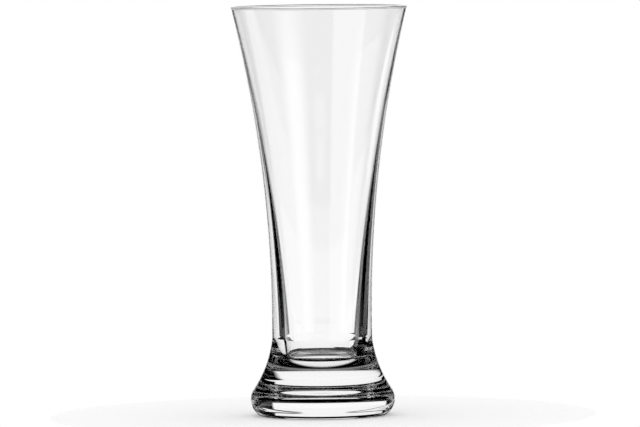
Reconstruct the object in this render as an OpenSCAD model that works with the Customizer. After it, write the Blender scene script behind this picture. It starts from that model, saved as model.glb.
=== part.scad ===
// Footed pilsner glass, pressed and blown in one piece of clear glass.
// The glass stands on z = 0 and its axis is the Z axis. All sizes are in millimetres.
// Its three zones are separate solids that meet face to face on flat rings:
// the fire-polished rim, the flared bowl, and the heavy foot with the floor of the bowl.

/* [Overall] */
// Height from the table to the top of the lip
height = 180; // [150:1:210]
// Height of the line where the bowl ends and the foot begins to flare
foot_line_z = 34.5; // [33:0.5:38]

/* [Bowl] */
// Outside diameter that the wall has at the very top
mouth_d = 78; // [70:0.2:90]
// Outside diameter of the waist, the narrowest place
waist_d = 44; // [40:0.5:48]
// Height of the waist, where the wall stands straight up
waist_z = 43; // [39:0.5:55]
// Thickness of the wall at the very top
mouth_wall = 0.9; // [0.8:0.1:2]
// Diameter that the cavity's long curve has where it stands straight up, level with the table
cavity_d = 30.8; // [26:0.2:33]

/* [Rim] */
// How far the rounded bead at the lip stands proud of the outer wall
bead_out = 0.1; // [0.1:0.05:0.6]
// How far the bead stands proud of the inner wall
bead_in = 0.05; // [0.05:0.01:0.3]
// Height of the zone that counts as the rim
rim_h = 4; // [3:0.5:8]

/* [Floor] */
// How far the middle of the bowl's floor lies below the foot line
floor_drop = 11.8; // [8:0.1:12.5]
// Radius of the dish in the floor
floor_r = 120; // [60:5:300]
// Radius of the corner between the floor and the wall
floor_corner_r = 2.5; // [1:0.1:2.7]

/* [Foot] */
// Greatest diameter of the foot
foot_d = 63.5; // [58:0.5:70]
// Height of the foot's greatest diameter
foot_widest_z = 7.4; // [6.5:0.1:8]
// Radius of the heel's round above that height
heel_r = 7.7; // [6:0.1:9]
// How far the heel's lower round would dip below the table if the toe did not turn it flat
heel_dip = 1.3; // [0.5:0.05:1.6]
// Radius of the toe, the round that leads from the heel to the resting ring
toe_r = 2.6; // [2.4:0.1:4]
// Radius of the fillet where the flare leaves the bowl
neck_r = 12; // [8:0.5:18]
// Slope of the flare just below that fillet, as a share of the flare's mean slope
neck_share = 0.42; // [0.3:0.01:0.6]
// Width of the flat ring that the glass rests on
ring_w = 1.5; // [1:0.1:3]
// Height of the hollow under the foot, at its middle
punt_h = 2.2; // [1:0.1:3.5]

/* [Hidden] */
round_fn = 180;
arc_fn = 1440;
glass_colour = [0.86, 0.89, 0.89, 0.5];
// How far two arcs that run smoothly into each other overlap
weld = 0.002;

mouth_r = mouth_d / 2;
waist_r = waist_d / 2;
cavity_r = cavity_d / 2;
foot_r = foot_d / 2;
rim_z = height - rim_h;

// Radius of an arc that leaves one line square on and ends so far along it and so far off it
function arc_radius(along, off) = (along * along + off * off) / (2 * off);
function towards(a, b) = (b - a) / norm(b - a);
// Direction square to the way from a to b, on the right of someone walking it
function right_of(a, b) = [towards(a, b)[1], -towards(a, b)[0]];
// Point at distance ra from a and rb from b, on the right of the way from a to b
function meeting(a, ra, b, rb) =
    let (gap = norm(b - a), along = (ra * ra - rb * rb + gap * gap) / (2 * gap))
    a + along * towards(a, b) + sqrt(ra * ra - along * along) * right_of(a, b);

// The outer wall is one arc that stands upright at the waist and reaches the mouth.
// The inner wall is one arc that stands upright level with the table and reaches the mouth.
outer_r = arc_radius(height - waist_z, mouth_r - waist_r);
inner_r = arc_radius(height, mouth_r - mouth_wall - cavity_r);
outer_centre = [waist_r + outer_r, waist_z];
inner_centre = [cavity_r + inner_r, 0];
function outer_at(z) = [outer_centre[0] - sqrt(pow(outer_r, 2) - pow(z - waist_z, 2)), z];
function inner_at(z) = [inner_centre[0] - sqrt(pow(inner_r, 2) - pow(z, 2)), z];

bead_r = (mouth_wall + bead_out + bead_in) / 2;
bead_z = height - bead_r;
bead_centre = outer_at(bead_z) + [bead_out - bead_r, 0];

// The flare is a fillet that leaves the bowl's curve, then one long arc that runs into the heel.
neck_start = outer_at(foot_line_z);
neck_centre = neck_start + neck_r * towards(neck_start, outer_centre);
neck_angle = neck_share * atan2(foot_r - neck_start[0], foot_line_z - foot_widest_z);
neck_out = [cos(neck_angle), sin(neck_angle)];
neck_end = neck_centre - neck_r * neck_out;
heel_centre = [foot_r - heel_r, foot_widest_z];
heel_way = neck_end - heel_centre;
heel_reach = heel_r - weld;
flare_r = (pow(heel_reach, 2) - heel_way * heel_way) / (2 * (heel_way * neck_out - heel_reach));
flare_centre = neck_end + flare_r * neck_out;
heel_core = heel_centre + heel_r / 2 * towards(heel_centre, flare_centre);

// The toe's arc runs out of the heel's lower one and ends flat on the table.
under_r = foot_widest_z + heel_dip;
under_centre = [foot_r - under_r, foot_widest_z];
toe_drop = foot_widest_z - toe_r;
toe_centre = under_centre + [sqrt(pow(under_r - toe_r, 2) - pow(toe_drop, 2)), -toe_drop];
ring_out = [toe_centre[0], 0];
punt_r = arc_radius(ring_out[0] - ring_w, punt_h);
punt_centre = [0, punt_h - punt_r];

// The floor is a shallow dish, and a round corner joins it to the cavity's wall.
floor_centre = [0, foot_line_z - floor_drop + floor_r];
corner_centre = meeting(floor_centre, floor_r - floor_corner_r, inner_centre, inner_r + floor_corner_r);
corner_down = 2 * floor_corner_r * towards(floor_centre, corner_centre);
corner_side = 2 * floor_corner_r * towards(corner_centre, inner_centre);

module disc(centre, r) {
    translate(centre) circle(r = r, $fn = arc_fn);
}

// The part of the plane near a and b that lies on the right of the way from a to b
module right_side(a, b) {
    reach = height * towards(a, b);
    aside = height * right_of(a, b);
    polygon([a - reach, a + reach, a + reach + aside, a - reach + aside]);
}

// The wall from the foot to the rim: inside the cavity's arc and outside the bowl's
module bowl_section() {
    difference() {
        intersection() {
            translate([0, foot_line_z]) square([outer_centre[0], rim_z - foot_line_z]);
            disc(inner_centre, inner_r);
        }
        disc(outer_centre, outer_r);
    }
}

// Everything inside the foot's outer skin, with the underside and the floor still flat
module foot_outline() {
    intersection() {
        square([foot_r, foot_line_z]);
        union() {
            difference() {
                polygon([
                    [0, 0], ring_out, toe_centre, heel_core, flare_centre,
                    [flare_centre[0], foot_line_z], [0, foot_line_z]
                ]);
                disc(neck_centre, neck_r + weld);
                intersection() {
                    disc(flare_centre, flare_r);
                    right_side(neck_end, flare_centre);
                }
            }
            intersection() {
                disc(heel_centre, heel_r);
                translate([0, foot_widest_z - weld]) square([foot_r, heel_r]);
            }
            intersection() {
                disc(under_centre, under_r);
                right_side(toe_centre, under_centre);
                square([foot_r, foot_widest_z]);
            }
            disc(toe_centre, toe_r + weld);
        }
    }
}

// The bottom of the cavity, where it dips into the foot
module floor_section() {
    difference() {
        disc(floor_centre, floor_r);
        disc(inner_centre, inner_r);
        difference() {
            polygon([
                corner_centre, corner_centre + corner_down,
                corner_centre + corner_down + corner_side, corner_centre + corner_side
            ]);
            disc(corner_centre, floor_corner_r + weld);
        }
    }
}

// The rounded lip, melted smooth, on the last stretch of wall, which is too short to curve
module rim() {
    color(glass_colour)
        rotate_extrude($fn = round_fn) {
            polygon([inner_at(rim_z), outer_at(rim_z), outer_at(bead_z), inner_at(bead_z)]);
            disc(bead_centre, bead_r);
        }
}

// The flared wall, thick at the waist and thin under the lip
module bowl() {
    color(glass_colour)
        rotate_extrude($fn = round_fn) bowl_section();
}

// The heavy foot: floor of the bowl, flare, heel, toe, resting ring and the hollow underneath
module foot() {
    color(glass_colour)
        rotate_extrude($fn = round_fn)
            difference() {
                foot_outline();
                disc(punt_centre, punt_r);
                floor_section();
            }
}

rim();
bowl();
foot();
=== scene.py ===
"""The pilsner glass of the photograph: one seamless lathed piece of clear glass on a white sweep.

The glass is turned from the same named sizes and arcs as the CAD part, in millimetres, and its mesh stands for the
CAD solids rim, bowl and foot. The studio is white all round. Black flags, which only the glass sees, and the painted
light and shade of the floor as the glass shows it, draw its edges.
"""

import math

import bpy
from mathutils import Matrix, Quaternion, Vector


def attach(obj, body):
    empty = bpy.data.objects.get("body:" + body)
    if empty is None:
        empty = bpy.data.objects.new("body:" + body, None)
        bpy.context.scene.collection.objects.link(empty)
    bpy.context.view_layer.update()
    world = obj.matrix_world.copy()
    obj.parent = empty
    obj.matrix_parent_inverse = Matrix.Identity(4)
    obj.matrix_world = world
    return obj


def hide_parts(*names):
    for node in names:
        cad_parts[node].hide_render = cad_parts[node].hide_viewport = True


MM = 0.001

# Sizes of the glass in millimetres, as in the CAD source
HEIGHT = 180.0
FOOT_LINE_Z = 34.5
MOUTH_D, WAIST_D, WAIST_Z = 78.0, 44.0, 43.0
MOUTH_WALL, CAVITY_D = 0.9, 30.8
BEAD_OUT, BEAD_IN = 0.1, 0.05
FLOOR_DROP, FLOOR_R, FLOOR_CORNER_R = 11.8, 120.0, 2.5
FOOT_D, FOOT_WIDEST_Z, HEEL_R, HEEL_DIP, TOE_R = 63.5, 7.4, 7.7, 1.3, 2.6
NECK_R, NECK_SHARE = 12.0, 0.42
RING_W, PUNT_H = 1.5, 2.2

# Segments round the axis
TURNS = 240

# Camera: where it stands and looks, in metres, how far it is tipped over, and its lens and sensor in millimetres
EYE = Vector((0.0, -3.510, 0.2596))
AIM = Vector((-0.0004, 0.0, 0.0888))
LEAN = math.radians(0.6)
LENS, SENSOR = 449.4, 36

# Colour and density of the glass itself, seen only through its thick foot
GLASS_COLOUR, GLASS_DENSITY = (0.80, 0.88, 0.86, 1), 0.3
IOR = 1.5


# ---------------------------------------------------------------- profile of the glass


def arc_radius(along, off):
    """Radius of an arc that leaves a line square on and ends so far along it and so far off it."""
    return (along * along + off * off) / (2 * off)


def towards(a, b):
    return (b - a).normalized()


def right_of(a, b):
    t = towards(a, b)
    return Vector((t.y, -t.x))


def meeting(a, ra, b, rb):
    """The point at distance ra from a and rb from b, on the right of the way from a to b."""
    gap = (b - a).length
    along = (ra * ra - rb * rb + gap * gap) / (2 * gap)
    return a + along * towards(a, b) + math.sqrt(ra * ra - along * along) * right_of(a, b)


def arc(centre, start, end, steps):
    """Points of the circle round centre from start to end by the shorter way, each with the way on from there."""
    radius = (start - centre).length
    a = math.atan2(start.y - centre.y, start.x - centre.x)
    b = math.atan2(end.y - centre.y, end.x - centre.x)
    turn = (b - a + math.pi) % (2 * math.pi) - math.pi
    run = []
    for i in range(steps + 1):
        out = Vector((math.cos(a + turn * i / steps), math.sin(a + turn * i / steps)))
        run.append((centre + radius * out, math.copysign(1, turn) * Vector((-out.y, out.x))))
    return run


def first_inside(curve, low, high, centre, radius):
    """The lowest point of the curve, given by height, that lies inside the circle."""
    tries = 4000
    for i in range(tries + 1):
        p = curve(low + (high - low) * i / tries)
        if (p - centre).length <= radius:
            return p
    return curve(high)


def glass_profile():
    """Half section of the glass from the floor over the lip to the punt, as runs of smooth curve.

    Each run is a list of points, as radius and height in millimetres, with the way on at each point.
    """
    mouth_r, waist_r, cavity_r, foot_r = MOUTH_D / 2, WAIST_D / 2, CAVITY_D / 2, FOOT_D / 2
    outer_r = arc_radius(HEIGHT - WAIST_Z, mouth_r - waist_r)
    inner_r = arc_radius(HEIGHT, mouth_r - MOUTH_WALL - cavity_r)
    outer_c = Vector((waist_r + outer_r, WAIST_Z))
    inner_c = Vector((cavity_r + inner_r, 0))

    def outer_at(z):
        return Vector((outer_c.x - math.sqrt(outer_r**2 - (z - WAIST_Z) ** 2), z))

    def inner_at(z):
        return Vector((inner_c.x - math.sqrt(inner_r**2 - z * z), z))

    bead_r = (MOUTH_WALL + BEAD_OUT + BEAD_IN) / 2
    bead_z = HEIGHT - bead_r
    bead_c = outer_at(bead_z) + Vector((BEAD_OUT - bead_r, 0))

    neck_start = outer_at(FOOT_LINE_Z)
    neck_c = neck_start + NECK_R * towards(neck_start, outer_c)
    neck_angle = NECK_SHARE * math.atan2(foot_r - neck_start.x, FOOT_LINE_Z - FOOT_WIDEST_Z)
    neck_out = Vector((math.cos(neck_angle), math.sin(neck_angle)))
    neck_end = neck_c - NECK_R * neck_out
    heel_c = Vector((foot_r - HEEL_R, FOOT_WIDEST_Z))
    way = neck_end - heel_c
    flare_r = (HEEL_R**2 - way.dot(way)) / (2 * (way.dot(neck_out) - HEEL_R))
    flare_c = neck_end + flare_r * neck_out
    heel_start = heel_c + HEEL_R * towards(heel_c, flare_c)

    widest = Vector((foot_r, FOOT_WIDEST_Z))
    under_r = FOOT_WIDEST_Z + HEEL_DIP
    under_c = Vector((foot_r - under_r, FOOT_WIDEST_Z))
    toe_drop = FOOT_WIDEST_Z - TOE_R
    toe_c = under_c + Vector((math.sqrt((under_r - TOE_R) ** 2 - toe_drop**2), -toe_drop))
    toe_start = under_c + under_r * towards(under_c, toe_c)
    ring_out = Vector((toe_c.x, 0))
    ring_in = Vector((toe_c.x - RING_W, 0))
    punt_c = Vector((0, PUNT_H - arc_radius(ring_in.x, PUNT_H)))

    floor_c = Vector((0, FOOT_LINE_Z - FLOOR_DROP + FLOOR_R))
    corner_c = meeting(floor_c, FLOOR_R - FLOOR_CORNER_R, inner_c, inner_r + FLOOR_CORNER_R)
    floor_end = floor_c + FLOOR_R * towards(floor_c, corner_c)
    wall_start = inner_c + inner_r * towards(inner_c, corner_c)

    bead_in = first_inside(inner_at, bead_z - bead_r, bead_z, bead_c, bead_r)
    bead_out = first_inside(outer_at, bead_z - bead_r, bead_z, bead_c, bead_r)
    lip = bead_c + Vector((0, bead_r))

    inward = Vector((-1, 0))
    return [
        arc(floor_c, floor_c - Vector((0, FLOOR_R)), floor_end, 24),
        arc(corner_c, floor_end, wall_start, 14),
        arc(inner_c, wall_start, bead_in, 70),
        arc(bead_c, bead_in, lip, 10),
        arc(bead_c, lip, bead_out, 12),
        arc(outer_c, bead_out, neck_start, 80),
        arc(neck_c, neck_start, neck_end, 8),
        arc(flare_c, neck_end, heel_start, 36),
        arc(heel_c, heel_start, widest, 24),
        arc(under_c, widest, toe_start, 20),
        arc(toe_c, toe_start, ring_out, 12),
        [(ring_out, inward), (ring_in, inward)],
        arc(punt_c, ring_in, Vector((0, PUNT_H)), 24),
    ]


def lathe(name, runs):
    """A closed mesh turned round the Z axis from runs of curve, of which the first and the last end on the axis.

    Its normals are those of the curves themselves, so that light bends in it as in smooth glass.
    """
    steps = [(a, b) for run in runs for a, b in zip(run, run[1:])]
    places = [steps[0][0][0]] + [b[0] for a, b in steps]
    turns = [2 * math.pi * i / TURNS for i in range(TURNS)]

    verts, rings = [], []
    for p in places:
        on_axis = p in (places[0], places[-1])
        ring = [len(verts)] * TURNS if on_axis else list(range(len(verts), len(verts) + TURNS))
        around = turns[:1] if on_axis else turns
        verts += [(p.x * MM * math.cos(t), p.x * MM * math.sin(t), p.y * MM) for t in around]
        rings.append(ring)

    faces, normals = [], []
    for (a, b), low, high in zip(steps, rings, rings[1:]):
        for i in range(TURNS):
            j = (i + 1) % TURNS
            corners = [(low[i], a, i), (high[i], b, i), (high[j], b, j), (low[j], a, j)]
            if low[i] == low[j]:
                del corners[3]
            if high[i] == high[j]:
                del corners[2]
            faces.append([v for v, end, k in corners])
            for v, (p, way), k in corners:
                normals.append((-way.y * math.cos(turns[k]), -way.y * math.sin(turns[k]), way.x))

    mesh = bpy.data.meshes.new(name)
    mesh.from_pydata(verts, [], faces)
    for face in mesh.polygons:
        face.use_smooth = True
    mesh.normals_split_custom_set(normals)
    made = bpy.data.objects.new(name, mesh)
    bpy.context.scene.collection.objects.link(made)
    return made


# ---------------------------------------------------------------- materials


def clear_glass():
    """Clear, smooth soda-lime glass with a very faint grey green depth."""
    mat = bpy.data.materials.new("clear_glass")
    mat.use_nodes = True
    nodes, links = mat.node_tree.nodes, mat.node_tree.links
    shader = nodes["Principled BSDF"]
    shader.inputs["Base Color"].default_value = (1.0, 1.0, 1.0, 1)
    shader.inputs["Roughness"].default_value = 0.0
    shader.inputs["IOR"].default_value = IOR
    shader.inputs["Transmission Weight"].default_value = 1.0
    depth = nodes.new("ShaderNodeVolumeAbsorption")
    depth.inputs["Color"].default_value = GLASS_COLOUR
    depth.inputs["Density"].default_value = GLASS_DENSITY
    links.new(depth.outputs[0], nodes["Material Output"].inputs["Volume"])
    return mat


class Graph:
    """Short calls for the maths nodes of one node tree."""

    def __init__(self, tree):
        self.nodes, self.links = tree.nodes, tree.links

    def feed(self, socket, value):
        if isinstance(value, (int, float)):
            socket.default_value = value
        else:
            self.links.new(value, socket)

    def math(self, kind, *values):
        node = self.nodes.new("ShaderNodeMath")
        node.operation = kind
        for socket, value in zip(node.inputs, values):
            self.feed(socket, value)
        return node.outputs[0]

    def ramp(self, value, x0, x1, y0=0.0, y1=1.0, smooth=False):
        node = self.nodes.new("ShaderNodeMapRange")
        node.interpolation_type = "SMOOTHSTEP" if smooth else "LINEAR"
        for socket, v in zip(node.inputs, (value, x0, x1, y0, y1)):
            self.feed(socket, v)
        return node.outputs[0]

    def angle(self, opposite, adjacent):
        return self.math("MULTIPLY", self.math("ARCTAN2", opposite, adjacent), 180 / math.pi)

    def outside(self, heading, middle, left, right):
        """How far, in degrees, a heading lies outside an opening of so much to either side of its middle."""
        turn = self.math("WRAP", self.math("SUBTRACT", heading, middle), 180, -180)
        beyond_right = self.math("SUBTRACT", turn, right)
        beyond_left = self.math("SUBTRACT", self.math("MULTIPLY", turn, -1), left)
        return self.math("MAXIMUM", beyond_right, beyond_left)

    def edge(self, outside, soft, smooth=True):
        """0 well inside an opening and 1 well outside it, from how far outside it is and how soft its edge is."""
        return self.ramp(outside, -soft, soft, smooth=smooth)

    def inside(self, outside, soft):
        return self.ramp(outside, soft, -soft, smooth=True)

    def between(self, value, low, high, soft):
        """1 where a value lies between two others and 0 elsewhere."""
        return self.product(self.ramp(value, low - soft, low + soft), self.ramp(value, high + soft, high - soft))

    def most(self, *values):
        return self.fold("MAXIMUM", values)

    def product(self, *values):
        return self.fold("MULTIPLY", values)

    def fold(self, kind, values):
        result = values[0]
        for value in values[1:]:
            result = self.math(kind, result, value)
        return result

    def invert(self, value):
        return self.math("SUBTRACT", 1, value)

    def mix(self, value, other, share):
        return self.math("ADD", self.product(value, self.invert(share)), self.product(other, share))


# What the glass shows of the floor is painted light and shade, a glow that no lamp gives: white where light would
# fall, black where the shadow of the glass round its foot and the shadows of the flags would fall.
# The floor that the glass shows is a disc of this radius, black but for the parts below. All are in metres: across
# runs to the right of the photograph's camera, and ahead runs away from it, both from the axis of the glass.
FLOOR_DISC_R, FLOOR_GAP = 0.12, 0.0001
# Colour of the white card, and the glow that keeps it white where little light falls on it
FLOOR_WHITE, FLOOR_GLOW = 0.8, 0.2
# A white fan of painted light between the painted shadows of two flags, which fades in over this stretch ahead. Each
# side has its least width, the distance ahead from which it spreads, how much it spreads from there, and the share of
# the distance ahead that it never passes.
FAN_START = (0.0400, 0.0455)
FAN_LEFT = (0.015, 0.050, 2.0, 0.75)
FAN_RIGHT = (0.008, 0.058, 3.0, 0.62)
FAN_EDGE = (-0.001, 0.0015)
# A dim strip of painted light just beyond the foot, inside the painted shadow of the glass: from and to ahead, half
# width, soft edge and level
BAR_FROM, BAR_TO, BAR_HALF, BAR_SOFT, BAR_LEVEL = 0.027, 0.031, 0.016, 0.001, 0.35
# White strips of painted light that run outwards, for the views from the front right and from behind on the left:
# heading in degrees, half width and start
SIDE_STRIPS = [(-45, 0.026, 0.050), (135, 0.030, 0.050)]
STRIP_SIDE_SOFT, STRIP_START_SOFT = 0.003, 0.002
# Painted light, white, from this far in front of the axis, and from this far beside it where the floor isn't ahead of
# it.
# Nearer the axis is the painted shadow of the glass
OPEN_FROM, OPEN_SOFT = 0.040, 0.002


def fan_side(g, ahead, width, start, spread, limit):
    grown = g.math("MULTIPLY", g.math("MAXIMUM", g.math("SUBTRACT", ahead, start), 0), spread)
    return g.math("MINIMUM", g.math("ADD", grown, width), g.math("MULTIPLY", ahead, limit))


def painted_floor_light_and_shade(g, across, ahead):
    """Painted light and shade of the floor that the glass shows: its level of white, by place."""
    left, right = fan_side(g, ahead, *FAN_LEFT), fan_side(g, ahead, *FAN_RIGHT)
    within = g.math("MINIMUM", g.math("ADD", left, across), g.math("SUBTRACT", right, across))
    lit = g.product(g.ramp(within, *FAN_EDGE, smooth=True), g.ramp(ahead, *FAN_START, smooth=True))

    sideways = g.math("ABSOLUTE", across)
    bar = g.ramp(sideways, BAR_HALF + BAR_SOFT, BAR_HALF - BAR_SOFT, 0, BAR_LEVEL)
    lit = g.most(lit, g.product(g.between(ahead, BAR_FROM, BAR_TO, BAR_SOFT), bar))

    for heading, half, start in SIDE_STRIPS:
        sin, cos = math.sin(math.radians(heading)), math.cos(math.radians(heading))
        along = g.math("ADD", g.math("MULTIPLY", across, sin), g.math("MULTIPLY", ahead, cos))
        aside = g.math("SUBTRACT", g.math("MULTIPLY", across, cos), g.math("MULTIPLY", ahead, sin))
        side = g.ramp(g.math("ABSOLUTE", aside), half + STRIP_SIDE_SOFT, half - STRIP_SIDE_SOFT)
        lit = g.most(lit, g.product(side, g.ramp(along, start - STRIP_START_SOFT, start + STRIP_START_SOFT)))

    out = g.ramp(sideways, OPEN_FROM - OPEN_SOFT, OPEN_FROM + OPEN_SOFT)
    beside = g.product(out, g.ramp(ahead, OPEN_SOFT, -OPEN_SOFT))
    return g.most(lit, beside, g.ramp(ahead, OPEN_SOFT - OPEN_FROM, -OPEN_SOFT - OPEN_FROM))


def white_floor():
    """White card that keeps the glass's shadow. What the glass mirrors or shows of it is instead a glow of painted
    light and shade, white in parts and black elsewhere.
    """
    mat = bpy.data.materials.new("white_floor")
    mat.use_nodes = True
    nodes, links = mat.node_tree.nodes, mat.node_tree.links
    nodes.remove(nodes["Principled BSDF"])
    g = Graph(mat.node_tree)
    card = nodes.new("ShaderNodeBsdfDiffuse")
    card.inputs["Color"].default_value = (FLOOR_WHITE, FLOOR_WHITE, FLOOR_WHITE, 1)
    glow = nodes.new("ShaderNodeEmission")
    glow.inputs["Strength"].default_value = FLOOR_GLOW
    both = nodes.new("ShaderNodeAddShader")
    links.new(card.outputs[0], both.inputs[0])
    links.new(glow.outputs[0], both.inputs[1])

    place = nodes.new("ShaderNodeTexCoord")
    split = nodes.new("ShaderNodeSeparateXYZ")
    links.new(place.outputs["Object"], split.inputs[0])
    # What glass rays see of the floor: a glow of painted light and painted shadow, by place
    seen = nodes.new("ShaderNodeEmission")
    links.new(painted_floor_light_and_shade(g, split.outputs[0], split.outputs[1]), seen.inputs["Strength"])

    rays = nodes.new("ShaderNodeLightPath")
    mix = nodes.new("ShaderNodeMixShader")
    links.new(g.most(rays.outputs["Is Glossy Ray"], rays.outputs["Is Transmission Ray"]), mix.inputs[0])
    links.new(both.outputs[0], mix.inputs[1])
    links.new(seen.outputs[0], mix.inputs[2])
    links.new(mix.outputs[0], nodes["Material Output"].inputs["Surface"])
    return mat


# The surround as the glass shows it. Headings run from straight ahead of the camera, to the right, and rises from the
# horizon up, all in degrees.
# The white opening ahead, for light through the glass: rise, then how far it reaches to the left and to the right
OPENING = [
    (-22, 12, 10), (-17, 14, 12), (-14, 18, 16), (-13, 28, 24), (-12, 34, 24), (-11, 34, 21), (-10.6, 32.5, 19),
    (-10, 29, 15), (-9.5, 23.5, 12), (-8.5, 22, 22), (-7.5, 17.5, 17.5), (-6.5, 13, 13.5), (-5.5, 13, 12),
    (-4.4, 53, 10.5), (-3.6, 50, 32), (6.6, 52, 33), (18.7, 24, 28), (62, 24, 28),
]
OPENING_SOFT = 1.5
REACH = 90
# A black flag crosses it: the rises over which it fades in and out
FLAG_BOTTOM, FLAG_TOP = (6.5, 7.3), (19.5, 18.5)
# Beyond these reaches to the left and right, all below the second pair of rises is white
LOW_LEFT, LOW_RIGHT, LOW_SOFT, LOW_TOP = 60, 68, 2, (-3.5, -2.5)
# White windows at both sides: middle and half width
FLANKS = [(-94, 24), (135, 18)]
FLANK_SOFT, FLANK_TOP = 10, (24, 18)
# A small white window behind the camera
SLOT_AT, SLOT_HALF, SLOT_SOFT, SLOT_FROM, SLOT_TO, SLOT_EDGE = 180, 9, 1, 11.5, 15.5, 0.5
# All is white above here
CEILING = (46, 58)
# Light mirrored by the outside of the glass: black from the first heading to the second, above the last rise at any
# heading but the first, and white below the floor line
MIRROR_AHEAD, MIRROR_AHEAD_SOFT = 16, 2
MIRROR_BEHIND, MIRROR_BEHIND_SOFT = 82, 14
MIRROR_TOP, MIRROR_FLOOR = (0, 4), (-9, -8)
# Looked down on from two corners, below these rises: white within the first heading of the corner, then black, which
# fades out again between the next two, as far as the corner's edge
CORNERS = [(135, -13), (-45, -20)]
CORNER_WHITE, CORNER_BLACK, CORNER_EDGE, CORNER_SOFT = (22, 26), (90, 60), (92, 88), 0.5


def reaches(g, nodes, links, rise):
    """How far the opening ahead reaches to the left and to the right at a rise."""
    low, high = OPENING[0][0], OPENING[-1][0]
    table = nodes.new("ShaderNodeValToRGB")
    stops = table.color_ramp.elements
    while len(stops) < len(OPENING):
        stops.new(0.5)
    for stop, (at, left, right) in zip(stops, OPENING):
        stop.position = (at - low) / (high - low)
        stop.color = (left / REACH, right / REACH, 0, 1)
    links.new(g.ramp(rise, low, high), table.inputs[0])
    sides = nodes.new("ShaderNodeSeparateColor")
    links.new(table.outputs[0], sides.inputs[0])
    return [g.math("MULTIPLY", sides.outputs[i], REACH) for i in (0, 1)]


def dark_through(g, heading, rise, left, right):
    """How dark the surround is for light that comes through the glass."""
    ahead = g.edge(g.outside(heading, 0, left, right), OPENING_SOFT)
    ahead = g.most(ahead, g.product(g.ramp(rise, *FLAG_BOTTOM), g.ramp(rise, *FLAG_TOP)))
    low = g.most(g.inside(g.outside(heading, 0, LOW_LEFT, LOW_RIGHT), LOW_SOFT), g.ramp(rise, *LOW_TOP))
    flanks = [g.inside(g.outside(heading, at, half, half), FLANK_SOFT) for at, half in FLANKS]
    flank = g.product(g.most(*flanks), g.ramp(rise, *FLANK_TOP))
    slot = g.edge(g.outside(heading, SLOT_AT, SLOT_HALF, SLOT_HALF), SLOT_SOFT, smooth=False)
    below = g.ramp(rise, SLOT_FROM + SLOT_EDGE, SLOT_FROM - SLOT_EDGE)
    beyond = g.ramp(rise, SLOT_TO - SLOT_EDGE, SLOT_TO + SLOT_EDGE)
    level = g.product(ahead, low, g.invert(flank), g.most(slot, below, beyond))
    return g.most(level, g.ramp(rise, *CEILING))


def dark_mirrored(g, heading, rise):
    """How dark the surround is for light that the outside of the glass mirrors."""
    ahead = g.edge(g.outside(heading, 0, MIRROR_AHEAD, MIRROR_AHEAD), MIRROR_AHEAD_SOFT)
    behind = g.inside(g.outside(heading, 0, MIRROR_BEHIND, MIRROR_BEHIND), MIRROR_BEHIND_SOFT)
    return g.product(ahead, g.most(behind, g.ramp(rise, *MIRROR_TOP)), g.ramp(rise, *MIRROR_FLOOR))


def surround():
    """White all round. What the glass mirrors or shows through it also has black flags beside each open side."""
    world = bpy.data.worlds.new("surround")
    world.use_nodes = True
    bpy.context.scene.world = world
    nodes, links = world.node_tree.nodes, world.node_tree.links
    g = Graph(world.node_tree)

    place = nodes.new("ShaderNodeTexCoord")
    split = nodes.new("ShaderNodeSeparateXYZ")
    links.new(place.outputs["Generated"], split.inputs[0])
    heading = g.angle(split.outputs[0], split.outputs[1])
    rise = g.math("MULTIPLY", g.math("ARCSINE", split.outputs[2]), 180 / math.pi)

    rays = nodes.new("ShaderNodeLightPath")
    through = rays.outputs["Is Transmission Ray"]
    left, right = reaches(g, nodes, links, rise)
    dark = g.mix(dark_mirrored(g, heading, rise), dark_through(g, heading, rise, left, right), through)
    for corner, top in CORNERS:
        off = g.outside(heading, corner, 0, 0)
        black = g.product(g.ramp(off, *CORNER_WHITE, smooth=True), g.ramp(off, *CORNER_BLACK, smooth=True))
        share = g.product(g.ramp(off, *CORNER_EDGE), g.ramp(rise, top + CORNER_SOFT, top - CORNER_SOFT))
        dark = g.mix(dark, black, share)

    by_glass = g.most(rays.outputs["Is Glossy Ray"], through)
    links.new(g.invert(g.product(dark, by_glass)), nodes["Background"].inputs["Strength"])
    nodes["Background"].inputs["Color"].default_value = (1, 1, 1, 1)


# ---------------------------------------------------------------- scene


def stand_camera():
    data = bpy.data.cameras.new("camera")
    data.lens = LENS
    data.sensor_width = SENSOR
    data.clip_start, data.clip_end = 0.05, 50
    cam = bpy.data.objects.new("camera", data)
    cam.location = EYE
    cam.rotation_mode = "QUATERNION"
    ahead = AIM - EYE
    cam.rotation_quaternion = Quaternion(ahead.normalized(), LEAN) @ ahead.to_track_quat("-Z", "Y")
    bpy.context.scene.collection.objects.link(cam)
    bpy.context.scene.camera = cam


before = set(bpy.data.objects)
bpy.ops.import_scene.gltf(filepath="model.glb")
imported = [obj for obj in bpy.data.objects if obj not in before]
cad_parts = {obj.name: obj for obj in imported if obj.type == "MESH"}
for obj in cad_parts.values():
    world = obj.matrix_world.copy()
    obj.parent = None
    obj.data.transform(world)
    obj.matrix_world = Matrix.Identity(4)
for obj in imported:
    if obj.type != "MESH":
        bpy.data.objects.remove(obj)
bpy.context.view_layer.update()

glass = lathe("pilsner_glass", glass_profile())
glass.data.materials.append(clear_glass())
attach(glass, "root")
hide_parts("rim", "bowl", "foot")

bpy.ops.mesh.primitive_circle_add(vertices=96, radius=FLOOR_DISC_R, fill_type="NGON", location=(0, 0, -FLOOR_GAP))
floor = bpy.context.object
floor.name = "floor"
floor.data.materials.append(white_floor())

surround()
stand_camera()

scene = bpy.context.scene
scene.view_settings.view_transform = "Standard"
scene.cycles.max_bounces = 32
scene.cycles.glossy_bounces = 24
scene.cycles.transmission_bounces = 24
